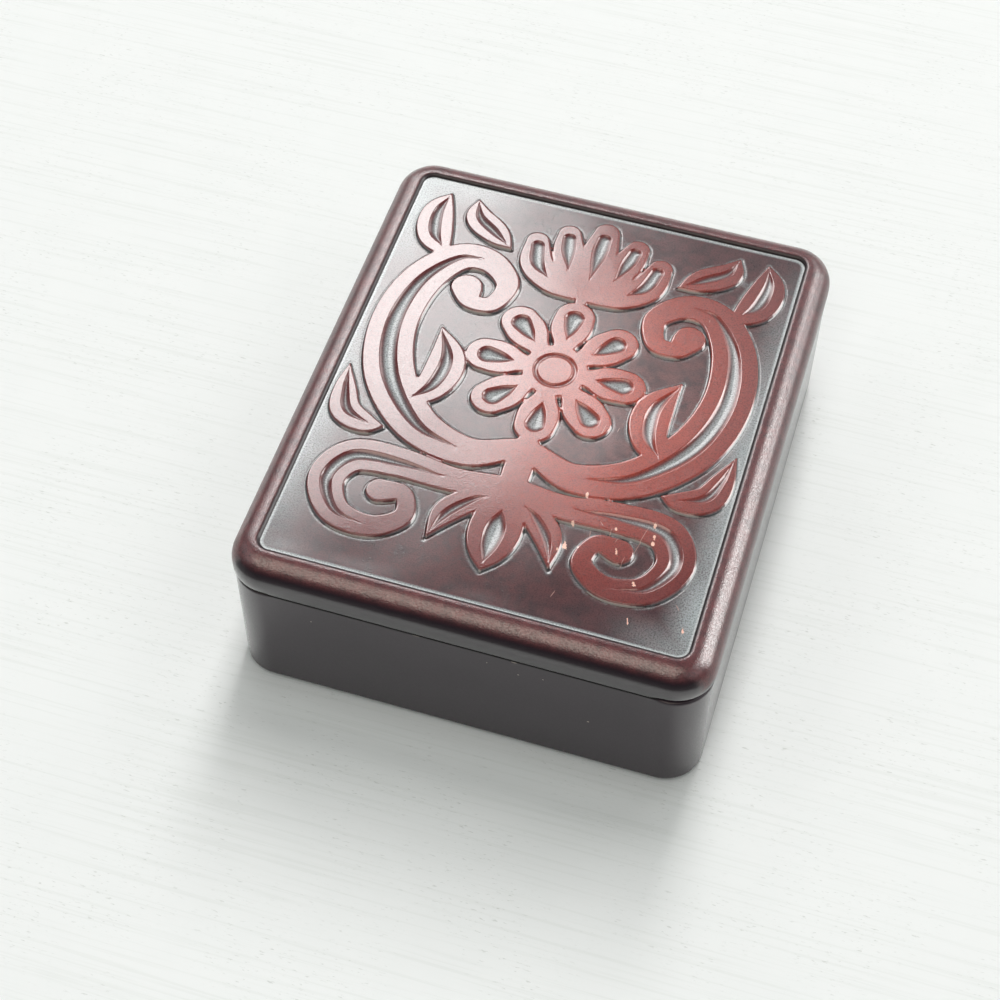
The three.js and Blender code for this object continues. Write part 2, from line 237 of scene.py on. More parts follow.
# Fine scratches beside them: x, y and length in millimetres, the lean in degrees, and the width
scratch_marks = [
    (30.4, -31.2, 9.6, -101), (19.5, -32.6, 2.4, -87), (21.3, -29.9, 1.8, -45),
    (17.9, -4, 1.8, -96), (14.9, -5.4, 3.8, -98), (44.4, -50.5, 2.3, 86),
    (16.2, -49.6, 2.4, 74), (29.6, 31.9, 1, 95), (41.9, -45.2, 2.1, -52),
    (23.6, -31.5, 3.1, -95), (25.5, -32.8, 2.6, -103), (28, -38, 3.4, -98),
]
scratch_width = 0.24

# Knocks on the base's front wall, in millimetres: x, z, length and width, and one depth for all
front_marks = [
    (-9.5, 33.1, 2.2, 0.3), (12, 33, 1.6, 0.4), (-33.3, 27.4, 0.4, 0.3), (6.1, 30, 0.3, 0.3),
    (13, 28.5, 0.5, 0.3), (18.4, 29.2, 0.4, 0.3), (28.7, 17, 0.6, 0.4),
]
front_mark_depth = 3

# The materials' paints, in linear red, green and blue
colours = dict(
    cool_ground=(0.085, 0.033, 0.037), hot_ground=(0.175, 0.07, 0.068),
    warm_ground=(0.105, 0.033, 0.034), stained_ground=(0.038, 0.024, 0.028),
    cool_red=(0.16, 0.03, 0.03), hot_red=(0.48, 0.068, 0.04), faded_red=(0.22, 0.055, 0.05),
    hollow_brown=(0.12, 0.082, 0.086), grey_glaze=(0.45, 0.51, 0.515),
    # Next row: a dark paint for painted shade at the relief's foot, and a pale grey for the step's
    # foot, partly glaze and partly painted highlight.
    foot_shade_black=(0.01, 0.012, 0.014), rim_glaze_highlight=(0.6, 0.62, 0.62),
    dark_moulding=(0.09, 0.03, 0.034), red_moulding=(0.17, 0.05, 0.053),
    # Next row: a plum for the lid's lower sides that also paints a dark reflection along the
    # front's rounding, and a black for painted shade on the step's wall.
    plum_and_dark_reflection=(0.017, 0.008, 0.014), step_shade_black=(0.012, 0.012, 0.014),
    pit_black=(0.012, 0.008, 0.01), scratch_pink=(0.6, 0.33, 0.28),
    chip_pink=(0.92, 0.56, 0.44), dark_base=(0.017, 0.007, 0.014),
    light_base=(0.026, 0.012, 0.022), base_grit=(0.05, 0.045, 0.047),
    # Next row: the base's pale chips, and a black for painted shade in the seam at the base's rim.
    base_chip=(0.4, 0.33, 0.27), seam_shade_black=(0.004, 0.003, 0.004),
    dark_velvet=(0.03, 0.009, 0.014), light_velvet=(0.062, 0.017, 0.027),
    deep_velvet=(0.016, 0.006, 0.009), dark_felt=(0.012, 0.013, 0.013),
    light_felt=(0.028, 0.03, 0.029), dark_board=(0.875, 0.892, 0.875),
    light_board=(0.905, 0.915, 0.9), board_streak=(0.6, 0.63, 0.58),
    board_pore=(0.5, 0.52, 0.48), black=(0, 0, 0),
)

# The materials' noises: size, detail and roughness
noises = dict(
    lid_cloud=(16 * mm, 3, 0.5), lid_blotch=(3 * mm, 4, 0.65),
    resin_speckle=(0.35 * mm, 2, 0.7), chip_edge=(0.7 * mm, 2, 0.5),
    worn_spots=(0.32 * mm, 2, 0.7), base_cloud=(30 * mm, 3, 0.5), velvet_nap=(7 * mm, 4, 0.6),
    velvet_pile=(0.25 * mm, 2, 0.7), felt_matting=(1.6 * mm, 5, 0.7),
    felt_fibre=(0.2 * mm, 2, 0.8), board_drift=(24 * mm, 4, 0.5), board_pore=(0.8 * mm, 3, 0.6),
    board_streak=(2 * mm, 3, 0.7), board_coat=(11 * mm, 3, 0.5),
)

# The materials' ramps: two inputs, which are lengths or shares, and the result at each
ramps = dict(
    patch=(0, 1, 1, 0), relief=(-0.1 * mm, 0.1 * mm, 1, 0),
    # step_wall marks the step's wall, where painted shade darkens the frame and the coat is dull.
    hollow=(-0.9 * mm, -0.05 * mm, 1, 0), step_wall=(-1 * mm, -0.5 * mm, 0, 0.9),
    front=(2.5 * mm, 4.5 * mm, 1, 0), waist=(-2.2 * mm, -1.2 * mm, 0, 1),
    # band sets the height of the painted dark reflection on the front's rounding.
    hem=(3.6 * mm, 4.8 * mm, 1, 0), band=(-2.8 * mm, -1.1 * mm, 1, 0),
    side=(1.5 * mm, 3 * mm, 1, 0), lower_edge=(0.2 * mm, 0.6 * mm, 1, 0),
    ground_stain=(0.35, 0.7, 0, 0.7), red_fading=(0.4, 0.75, 0, 0.35),
    moulding_blotch=(0.3, 0.7, 0, 1), side_pool=(0.5 * mm, 10 * mm, 0.9, 0),
    lid_cloud=(0.3, 0.6, 0.75, 1), rim_pool=(0.3 * mm, 1.1 * mm, 0.9, 0),
    foot_pool=(0.3 * mm, 1.2 * mm, 0.4, 0), foot_pool_blotch=(0.35, 0.6, 0, 1),
    cut_pool=(-1.6 * mm, -0.5 * mm, 0.75, 0), glaze_speckle=(0.3, 0.7, 1, 0.75),
    # Next row: where painted shade darkens the relief's foot, and where the step's foot line of
    # glaze and painted highlight runs.
    foot_shade_line=(0.05 * mm, 0.35 * mm, 0.9, 0), rim_highlight_line=(0.25 * mm, 0.5 * mm, 0.8, 0),
    pits=(0.42, 0.72, 0, 0.55), chip=(0.7, 1, 1, 0), chip_edge=(0.3, 0.7, -0.4, 0.4),
    scratch=(0.5, 1, 1, 0), worn_spots=(0.42, 0.58, 1, 0), worn_amount=(0, 1, 0.22, 0.6),
    grain_amount=(0, 1, 2.4, 9.5), lid_roughness=(0, 1, 0.3, 0.16),
    base_grit=(0.62, 0.75, 0, 0.5), base_mark=(0.6, 1, 1, 0),
    # base_gloss marks the rim's top under the seam, which is painted black as shade and left
    # without coat.
    base_roughness=(0.3, 0.7, 0.36, 0.44), base_gloss=(-0.7 * mm, -0.4 * mm, 1, 0),
    velvet_nap=(0.35, 0.65, 0, 1), velvet_pile=(0.4, 0.7, 0, 0.5),
    felt_matting=(0.35, 0.65, 0, 1), board_pore=(0.6, 0.7, 0, 1), board_drift=(0.38, 0.6, 0, 1),
    board_streak=(0.5, 0.64, 0, 0.15), backdrop=(0.4, 1, 1, 0),
)

# How much of some paints shows, how dull some places are, and how rough the glaze is
hollow_paint_share = 0.85
scratch_paint_share = 0.55
board_pore_share = 0.5
flank_dull_share = 0.7
ground_dull_share = 0.4
hollow_dull_share = 0.6
glaze_roughness = 0.55

# How deep the materials' bumps are
lid_bump_depth = 0.006 * mm
base_bump_depth = 0.002 * mm
velvet_bump_depth = 0.12 * mm
felt_bump_depth = 0.15 * mm

# How far the table's grain is drawn out each way, and how it is turned
board_pore_stretch = (2.6, 0.6, 1)
board_streak_stretch = (40, 0.5, 1)
board_turn_degrees = 0.5

# The camera of the picture
camera_place = Vector((74.8, -282.8, 408.5)) * mm
camera_aim = Vector((-1.2, -30.5, 42.1)) * mm
camera_roll_degrees = 0.57
camera_lens = 75.8
camera_sensor = 36

# Lamps: azimuth to the right of the back, elevation, width and height in degrees, the radiance and
# the tint. The windows show in the gloss alone, and the fills light without a reflection.
lamp_distance = 4
windows = dict(
    left_window=(-31, 45.5, 22.6, 17.5, 7.8, (1, 0.99, 0.98)),
    right_window=(58, 37, 30, 26, 8, (1, 0.99, 0.97)),
    right_low_window=(30, 29, 30, 18, 1.8, (1, 0.99, 0.97)),
    right_side_window=(63, 13, 26, 22, 7, (1, 0.99, 0.97)),
    left_low_window=(-46, 29, 18, 18, 3, (1, 0.99, 0.98)),
    back_glow=(0, 50.5, 36, 9, 0.7, (1, 0.99, 0.98)),
    back_wall=(0, 18, 100, 50, 0.45, (1, 0.99, 0.98)),
    front_panel=(-160, 62, 50, 44, 2.3, (1, 0.89, 0.77)),
    left_panel=(-100, 35, 50, 40, 0.6, (0.97, 0.99, 1)),
    right_panel=(100, 35, 50, 40, 0.6, (0.97, 0.99, 1)),
)
fills = dict(
    back_high_fill=(0, 66, 12, 16, 11.2, (1, 0.99, 0.99)),
    back_low_fill=(-3, 44, 14, 26, 11.4, (1, 0.99, 0.99)),
    left_window_fill=(-28, 38, 20, 24, 1.8, (1, 0.99, 0.99)),
    right_window_fill=(30, 38, 20, 24, 1.8, (1, 0.99, 0.99)),
    top_fill=(0, 90, 18, 18, 5, (0.96, 1, 0.97)),
    front_fill=(180, 52, 20, 20, 4.1, (0.96, 1, 0.97)),
    left_fill=(-95, 48, 40, 25, 0.7, (0.98, 1, 0.99)),
    right_fill=(95, 48, 40, 25, 0.7, (0.98, 1, 0.99)),
)
room_grey = 0.1
floor_half_width = 6

# The pale backdrop, into which the floor turns for the camera alone, far from the object
backdrop_tone = (0.83, 0.845, 0.83)
backdrop_reach = 2


def smooth(values, low, high):
    """0 below low, 1 above high, and a smooth rise between."""
    share = np.clip((values - low) / (high - low), 0, 1)
    return share * share * (3 - 2 * share)


def spine_of(places):
    """Points along the smooth curve through places, its ends drawn on in a straight line."""
    places = np.asarray(places, float)
    ends = 2 * places[[0, -1]] - places[[1, -2]]
    padded = np.vstack([ends[:1], places, ends[1:]])
    share = np.linspace(0, 1, spine_steps_per_span, endpoint=False)[:, None]
    spans = []
    for before, start, stop, after in zip(padded, padded[1:], padded[2:], padded[3:]):
        leave, arrive = (stop - before) / 2, (after - start) / 2
        cubic = 2 * (start - stop) + leave + arrive
        square = -3 * (start - stop) - 2 * leave - arrive
        spans.append(((cubic * share + square) * share + leave) * share + start)
    return np.vstack([*spans, places[-1:]])


def stroke_distance(x, y, places):
    """How far points lie outside a stroke, for those that lie near it."""
    spine = spine_of(places)
    half_width = np.maximum(spine[:, 2], 0)
    margin = half_width.max() + near_reach
    near = (x > spine[:, 0].min() - margin) & (x < spine[:, 0].max() + margin)
    near &= (y > spine[:, 1].min() - margin) & (y < spine[:, 1].max() + margin)
    px, py = x[near], y[near]
    least = np.full(px.shape, field_half_length)
    for i in range(len(spine) - 1):
        start, step = spine[i, :2], spine[i + 1, :2] - spine[i, :2]
        share = ((px - start[0]) * step[0] + (py - start[1]) * step[1]) / (step @ step)
        share = np.clip(share, 0, 1)
        away = np.hypot(px - start[0] - share * step[0], py - start[1] - share * step[1])
        width = half_width[i] + (half_width[i + 1] - half_width[i]) * share
        least = np.minimum(least, away - width)
    distance = np.full(x.shape, field_half_length)
    distance[near] = least
    return distance


def places_of(rows):
    """A stroke's rows as places in metres."""
    return np.asarray(rows, float) * (field_half_width, field_half_length, field_half_width)


def petal_places(reach_shares, half_width_shares):
    """The places of strokes that stand round the rosette's centre, one for each petal."""
    inner, outer = reach_shares
    reach = np.linspace(inner, outer, len(half_width_shares)) * field_half_width
    widths = np.asarray(half_width_shares) * field_half_width
    centre_y = rosette_centre_share * field_half_length
    turns = [number / petal_count * math.tau for number in range(petal_count)]
    return [
        np.stack([reach * math.sin(turn), centre_y + reach * math.cos(turn), widths], 1)
        for turn in turns
    ]


def all_places(side_shares, middle_shares, reach_shares, half_width_shares):
    """The places of every stroke of a pair of tables and of the petals, both sides alike."""
    right = [places_of(rows) for rows in side_shares.values()]
    left = [places * (-1, 1, 1) for places in right]
    middle = [places_of(rows) for rows in middle_shares.values()]
    return right + left + middle + petal_places(reach_shares, half_width_shares)


relief_places = all_places(
    side_stroke_shares, middle_stroke_shares, petal_reach_shares, petal_half_width_shares
)
carving_places = all_places(
    side_carving_shares,
    middle_carving_shares,
    petal_carving_reach_shares,
    petal_carving_half_width_shares,
)


def from_rosette(x, y):
    return np.hypot(x, y - rosette_centre_share * field_half_length)


def relief_distance(x, y):
    """How far points lie outside the raised relief."""
    strokes = [stroke_distance(x, y, places) for places in relief_places]
    return np.minimum.reduce([*strokes, from_rosette(x, y) - heart_share * field_half_width])


def carving_distance(x, y):
    """How far points lie outside the hollows that are carved into it."""
    strokes = [stroke_distance(x, y, places) for places in carving_places]
    inner, outer = (share * field_half_width for share in heart_ring_shares)
    ring = np.abs(from_rosette(x, y) - (inner + outer) / 2) - (outer - inner) / 2
    return np.minimum.reduce([*strokes, ring])


# Lines that the lid's triangles follow; a guard line keeps the shading of an edge beside it
relief_levels = (
    -wall_half_run - edge_round - guard_run,
    -wall_half_run - edge_round,
    -wall_half_run,
    wall_half_run,
    wall_half_run + foot_run,
    wall_half_run + foot_run + guard_run,
)
carving_levels = (-carving_lip, 0, carving_lip, carving_lip + guard_run)


def relief_at(outside, carved):
    """The relief's height over the field, from the distances to its outline and its carving."""
    top = relief_height - edge_drop * smooth(outside, -wall_half_run - edge_round, -wall_half_run)
    ground = -foot_dip * (1 - smooth(outside, wall_half_run, wall_half_run + foot_run))
    share = smooth(-outside, -wall_half_run, wall_half_run)
    depth = np.maximum(-carved, 0)
    cut = carving_depth * (1 - np.exp(-depth * carving_slope / carving_depth))
    return ground + (top - cut - ground) * share


def bent_wave(onward, sideways, rate, bend, bend_rate):
    """A sine that runs onward, bent by another that runs sideways."""
    return np.sin(onward * rate + bend * np.sin(sideways * bend_rate))


def undulating(x, y):
    """A slow wave from 0 to 1, so that no face of the casting is perfectly flat."""
    across, along = x / undulation_length, y / undulation_length
    wave = bent_wave(across, along, *cross_wave)
    swell = bent_wave(along, across, *long_wave)
    return (2 + wave + swell) / 4


def plan_ring(plan, inset):
    """(reach across, reach along, radius): the rounded rectangle that lies inset inside a plan."""
    half_width, half_length, corner_radius = plan
    radius = max(corner_radius - inset, least_corner_radius)
    return half_width - inset - radius, half_length - inset - radius, radius


def inside_ring(plan, inset, x, y):
    """How far points lie inside a ring of a plan."""
    reach_x, reach_y, radius = plan_ring(plan, inset)
    over_x, over_y = np.abs(x) - reach_x, np.abs(y) - reach_y
    corner = np.hypot(np.maximum(over_x, 0), np.maximum(over_y, 0))
    return radius - corner - np.minimum(np.maximum(over_x, over_y), 0)


def loop_round(plan, inset):
    """A loop of points on a ring, anticlockwise: their shares of its reach and their ways out."""
    reach_x, reach_y, _ = plan_ring(plan, inset)
    corners = [(1, 1), (-1, 1), (-1, -1), (1, -1)]
    shares, outs = [], []
    for i, corner in enumerate(corners):
        turns = np.linspace(i, i + 1, ring_corner_steps + 1) * (math.pi / 2)
        shares += [corner] * len(turns)
        outs += [(math.cos(turn), math.sin(turn)) for turn in turns]
        after = corners[(i + 1) % len(corners)]
        run = 2 * (reach_y if corner[0] == after[0] else reach_x)
        between = np.linspace(0, 1, round(run / ring_cell) + 1)[1:-1, None]
        shares += ((1 - between) * corner + between * after).tolist()
        outs += [outs[-1]] * len(between)
    return np.array(shares), np.array(outs)


def ring_points(plan, inset, z, loop):
    """The points of a loop at an inset and a height."""
    shares, outs = loop
    reach_x, reach_y, radius = plan_ring(plan, inset)
    flat = shares * (reach_x, reach_y) + outs * radius
    return np.column_stack([flat, np.broadcast_to(z, len(flat))])


def triangulated(points, joins, edge_count):
    """Points in plan, the triangles between them that keep the joins, and the edge's numbers.

    The points of the edge come first in what is given.
    """
    rows = [Vector(point) for point in (points / mm).tolist()]
    found, _, faces, sources, _, _ = delaunay_2d_cdt(rows, joins.tolist(), [], 0, weld_share, True)
    number = {source: i for i, group in enumerate(sources) for source in group}
    edge = np.array([number[i] for i in range(edge_count)])
    return np.array([tuple(point) for point in found]) * mm, np.array(faces), edge


def joined_round(count):
    return np.stack([np.arange(count), np.roll(np.arange(count), -1)], 1)


def sample_grid(plan, cell):
    half_width, half_length, _ = plan
    across = np.linspace(-half_width, half_width, round(2 * half_width / cell) + 1)
    along = np.linspace(-half_length, half_length, round(2 * half_length / cell) + 1)
    return np.meshgrid(across, along)


def plain_patch(plan, inset):
    """A rounded rectangle filled with triangles: points in plan, triangles, edge and loop."""
    loop = loop_round(plan, inset)
    rim = ring_points(plan, inset, 0, loop)[:, :2]
    x, y = sample_grid(plan, pad_cell)
    filled = inside_ring(plan, inset, x, y) > pad_cell / 2
    points = np.vstack([rim, np.stack([x[filled], y[filled]], 1)])
    return *triangulated(points, joined_round(len(rim)), len(rim)), loop


def drawn_to(level, x, y, distance_of):
    """Points moved on to the line where a distance has a level."""
    probe = relief_cell / probes_per_cell
    for _ in range(drawing_rounds):
        here = distance_of(x, y)
        slope_x = (distance_of(x + probe, y) - here) / probe
        slope_y = (distance_of(x, y + probe) - here) / probe
        steep = np.maximum(slope_x**2 + slope_y**2, least_steepness)
        step = np.clip(level - here, -relief_cell, relief_cell) / steep
        x, y = x + step * slope_x, y + step * slope_y
    return np.stack([x, y], 1)


def level_line(level, x, y, values, distance_of):
    """The points of a level line, one for each grid cell that it crosses, and their joins."""
    over = values > level
    first = over[:-1, :-1]
    crossed = (over[:-1, 1:] != first) | (over[1:, :-1] != first) | (over[1:, 1:] != first)
    number = np.full(crossed.shape, -1)
    number[crossed] = np.arange(np.count_nonzero(crossed))
    middle_x, middle_y = (x[:-1, :-1] + x[1:, 1:]) / 2, (y[:-1, :-1] + y[1:, 1:]) / 2
    points = drawn_to(level, middle_x[crossed], middle_y[crossed], distance_of)
    upright = over[:-1, 1:-1] != over[1:, 1:-1]
    lying = over[1:-1, :-1] != over[1:-1, 1:]
    across = np.stack([number[:, :-1][upright], number[:, 1:][upright]], 1)
    along = np.stack([number[:-1][lying], number[1:][lying]], 1)
    return points, np.concatenate([across, along])


def relief_patch():
    """The sunk field in plan, with triangles whose edges follow the relief and its carving."""
    loop = loop_round(lid_plan, step_inset)
    rim = ring_points(lid_plan, step_inset, 0, loop)[:, :2]
    x, y = sample_grid(lid_plan, relief_cell)
    outside, carved = relief_distance(x, y), carving_distance(x, y)
    lines = [level_line(level, x, y, outside, relief_distance) for level in relief_levels]
    lines += [level_line(level, x, y, carved, carving_distance) for level in carving_levels]
    for places in carving_places:
        spine = spine_of(places)[:, :2]
        lines.append((spine, joined_round(len(spine))[:-1]))
    open_node = np.zeros(x.shape, bool)
    open_node[::open_cell_steps, ::open_cell_steps] = True
    wanted = (open_node | (carved < 0)) & (inside_ring(lid_plan, step_inset, x, y) > relief_cell)
    for level in relief_levels:
        wanted &= np.abs(outside - level) > line_clearance
    for level in carving_levels:
        wanted &= np.abs(carved - level) > line_clearance
    points, joins = [rim], [joined_round(len(rim))]
    for line_points, line_joins in lines:
        joins.append(line_joins + sum(len(group) for group in points))
        points.append(line_points)
    points.append(np.stack([x[wanted], y[wanted]], 1))
    return *triangulated(np.concatenate(points), np.concatenate(joins), len(rim)), loop


def band_triangles(inner, outer):
    """The triangles between two loops of point numbers."""
    inner_next, outer_next = np.roll(inner, -1), np.roll(outer, -1)
    first = np.stack([inner, outer, outer_next], 1)
    second = np.stack([inner, outer_next, inner_next], 1)
    return np.concatenate([first, second])


def closed_solid(flat, z, triangles, edge, loop, plan, rings):
    """Points and triangles of a patch, of the rings that follow its edge, and of a closing face."""
    points = [np.column_stack([flat, z])]
    faces = [triangles]
    last, count = edge, len(flat)
    for inset, height in rings:
        points.append(ring_points(plan, inset, height, loop))
        ring = np.arange(count, count + len(edge))
        faces.append(band_triangles(last, ring))
        last, count = ring, count + len(edge)
    points.append(points[-1].mean(0)[None])
    faces.append(np.stack([last, np.full(len(edge), count), np.roll(last, -1)], 1))
    return np.concatenate(points), np.concatenate(faces)


def facing_out(points, triangles):
    """The triangles, turned over where they would face into the solid."""
    a, b, c = (points[triangles[:, i]] for i in range(3))
    volume = np.einsum("ij,ij->i", a, np.cross(b, c)).sum()
    return triangles if volume > 0 else triangles[:, ::-1]


def linked(name, data):
    """A new object of the scene."""
    made = bpy.data.objects.new(name, data)
    bpy.context.scene.collection.objects.link(made)
    return made


def mesh_object(name, points, triangles, material, shares=None, rounded=()):
    """A smooth mesh object of a material, with values by name kept at its points for it.

    No edge that meets a rounded point is made sharp; rounded holds their numbers.
    """
    mesh = bpy.data.meshes.new(name)
    mesh.from_pydata(points.tolist(), [], facing_out(points, triangles).tolist())
    mesh.validate()
    mesh.materials.append(material)
    mesh.shade_smooth()
    mesh.set_sharp_from_angle(angle=math.radians(crease_degrees))
    ends = np.zeros(2 * len(mesh.edges), np.int32)
    mesh.edges.foreach_get("vertices", ends)
    for number in np.flatnonzero(np.isin(ends.reshape(-1, 2), rounded).any(1)).tolist():
        mesh.edges[number].use_edge_sharp = False
    for key, values in (shares or {}).items():
        attribute = mesh.attributes.new(key, "FLOAT", "POINT")
        attribute.data.foreach_set("value", np.asarray(values, np.float32))
    return linked(name, mesh)


def quarter(start, stop, starts_upright, steps):
    """Insets and heights round a quarter ellipse between two points, without the first."""
    turn = np.arange(1, steps + 1) / steps * (math.pi / 2)
    early, late = np.sin(turn), 1 - np.cos(turn)
    across, up = (late, early) if starts_upright else (early, late)
    insets = start[0] + (stop[0] - start[0]) * across
    heights = start[1] + (stop[1] - start[1]) * up
    return list(zip(insets, heights))


def corner_gaps(loop, plan):
    """Shares from 0 to 1 of how far the seam opens round a loop, at the left and right corner."""
    x, y, _ = ring_points(plan, 0, 0, loop).T
    reach_x, reach_y, _ = plan_ring(plan, 0)
    behind = np.maximum(y + reach_y, 0)
    left = np.hypot(np.maximum(x + reach_x, 0), behind)
    right = np.hypot(np.minimum(x - reach_x, 0), behind)
    return 1 - smooth(left, 0, corner_gap_reach), 1 - smooth(right, 0, corner_gap_reach)


def lid_rings(loop):
    """Insets and heights from the foot of the step over the frame and round under the lid."""
    left, right = corner_gaps(loop, lid_plan)
    lift = left * left_lift + right * right_lift
    crest = (frame_rounding, box_height)
    band_foot = (0, lid_bottom + lid_lower_rounding)
    rib_foot = (rib_inset, rib_bottom + rib_rounding)
    rings = quarter((step_inset, field_top), crest, True, frame_flank_steps)
    rings += quarter(crest, (0, lid_bottom + lid_band_height), False, frame_round_steps)
    lower_edge = (lid_lower_rounding, lid_bottom)
    lower = [band_foot, *quarter(band_foot, lower_edge, True, hem_round_steps)]
    rings += [(inset, z + lift) for inset, z in lower]
    rings += [(rib_inset, lid_bottom), rib_foot]
    rib_edge = (rib_inset + rib_rounding, rib_bottom)
    rings += quarter(rib_foot, rib_edge, True, hem_round_steps)
    rings += [(hollow_inset, rib_bottom), (hollow_inset, hollow_top)]
    return rings


def make_lid():
    flat, triangles, edge, loop = relief_patch()
    x, y = flat.T
    outside, carved = relief_distance(x, y), carving_distance(x, y)
    settled = smooth(inside_ring(lid_plan, step_inset, x, y), 0, undulation_margin)
    z = field_top + relief_at(outside, carved) - undulation * settled * undulating(x, y)
    z[edge] = field_top
    points, faces = closed_solid(flat, z, triangles, edge, loop, lid_plan, lid_rings(loop))
    grown = np.full(len(points) - len(flat), field_half_length)
    shares = {
        "outside": np.append(outside, grown),
        "carved": np.append(carved, grown),
        "from_step": inside_ring(lid_plan, step_inset, *points[:, :2].T),
        "field": np.arange(len(points)) < len(flat),
    }
    inner = np.setdiff1d(np.arange(len(flat)), edge)
    made = mesh_object("lid_casting", points, faces, lid_resin(), shares, inner)
    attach(made, "lid")
    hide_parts("lid")


def make_base():
    flat, triangles, edge, loop = plain_patch(base_plan, wall_thickness)
    left, right = corner_gaps(loop, base_plan)
    dip = left * left_dip + right * right_dip
    rim_low = base_top - rim_rounding
    inner_rim, outer_rim = (wall_thickness, rim_low), (rim_rounding, base_top)
    inner_edge = (wall_thickness - rim_rounding, base_top)
    rim = [inner_rim, *quarter(inner_rim, inner_edge, True, rim_round_steps)]
    rim += [outer_rim, *quarter(outer_rim, (0, rim_low), False, rim_round_steps)]
    rim += [(0, rim_low - guard_run)]
    foot = (0, base_bottom + foot_rounding)
    recess_inset = felt_inset - felt_fit
    rings = [(inset, z - dip * (1 - inset / wall_thickness)) for inset, z in rim]
    rings += [(0, base_top - wall_guard_run), (0, foot[1] + guard_run)]
    rings += [foot, *quarter(foot, (foot_rounding, base_bottom), True, foot_round_steps)]
    rings += [(recess_inset, base_bottom), (recess_inset, felt_high.z)]
    z = np.full(len(flat), floor_pad_low.z)
    points, faces = closed_solid(flat, z, triangles, edge, loop, base_plan, rings)
    made = mesh_object("base_casting", points, faces, base_resin())
    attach(made, "base")
    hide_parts("base_shell")


def make_pad(name, node, body, plan, inset, crown, faces_up):
    """A card-backed velvet pad that swells a little between its edges."""
    low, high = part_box(node)
    back, front, toward = (low.z, high.z, 1) if faces_up else (high.z, low.z, -1)
    inner = inset + lining_rounding
    flat, triangles, edge, loop = plain_patch(plan, inner)
    swell = smooth(inside_ring(plan, inner, *flat.T), 0, crown_reach)
    z = front - toward * crown * (1 - swell)
    crest = (inner, front - toward * crown)
    edge_top = (inset, crest[1] - toward * lining_rounding)
    rings = quarter(crest, edge_top, False, rim_round_steps)
    rings += [(inset, back)]
    points, faces = closed_solid(flat, z, triangles, edge, loop, plan, rings)
    made = mesh_object(name, points, faces, velvet)
    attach(made, body)
    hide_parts(node)


def make_wall_strip():
    """One velvet strip round the four walls, its ends a butt gap apart at the back's middle."""
    outer, inner = wall_strip_inset, wall_strip_inset + wall_strip_thickness
    shares, outs = loop_round(base_plan, outer)
    reach_x, reach_y, radius = plan_ring(base_plan, outer)
    x = shares[:, 0] * reach_x
    on_back = (shares[:, 1] == 1) & (np.abs(shares[:, 0]) < 1)
    start = np.flatnonzero(on_back & (x < 0))[0]
    kept = ~(on_back & (np.abs(x) < butt_gap))
    order = np.roll(np.arange(len(shares)), -start)
    order = order[kept[order]]
    end_share = butt_gap / 2 / reach_x
    shares = np.vstack([(-end_share, 1), shares[order], (end_share, 1)])
    outs = np.vstack([(0, 1), outs[order], (0, 1)])
    low, top = wall_strip_low.z, wall_strip_high.z
    inner_edge, outer_edge = (inner, top - lining_rounding), (outer + lining_rounding, top)
    section = [(outer, low), (inner, low), inner_edge]
    section += quarter(inner_edge, (inner - lining_rounding, top), True, rim_round_steps)
    outer_foot = (outer, top - lining_rounding)
    section += [outer_edge, *quarter(outer_edge, outer_foot, False, rim_round_steps)]
    points = np.stack([ring_points(base_plan, inset, z, (shares, outs)) for inset, z in section], 1)
    number = np.arange(points[..., 0].size).reshape(points.shape[:2])
    here, after = number[:-1], number[1:]
    first = np.stack([here, np.roll(here, -1, 1), np.roll(after, -1, 1)], -1)
    second = np.stack([here, np.roll(after, -1, 1), after], -1)
    spokes = range(1, len(section) - 1)
    caps = [(number[0, 0], number[0, i + 1], number[0, i]) for i in spokes]
    caps += [(number[-1, 0], number[-1, i], number[-1, i + 1]) for i in spokes]
    faces = np.concatenate([first.reshape(-1, 3), second.reshape(-1, 3), np.array(caps)])
    made = mesh_object("wall_velvet", points.reshape(-1, 3), faces, velvet)
    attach(made, "base")
    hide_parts("wall_lining")


def make_felt():
    flat, triangles, edge, loop = plain_patch(base_plan, felt_inset)
    z = np.full(len(flat), felt_high.z)
    rings = [(felt_inset, felt_low.z)]
    points, faces = closed_solid(flat, z, triangles, edge, loop, base_plan, rings)
    made = mesh_object("felt_sheet", points, faces, felt_cloth())
    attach(made, "base")
    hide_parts("underside_felt")


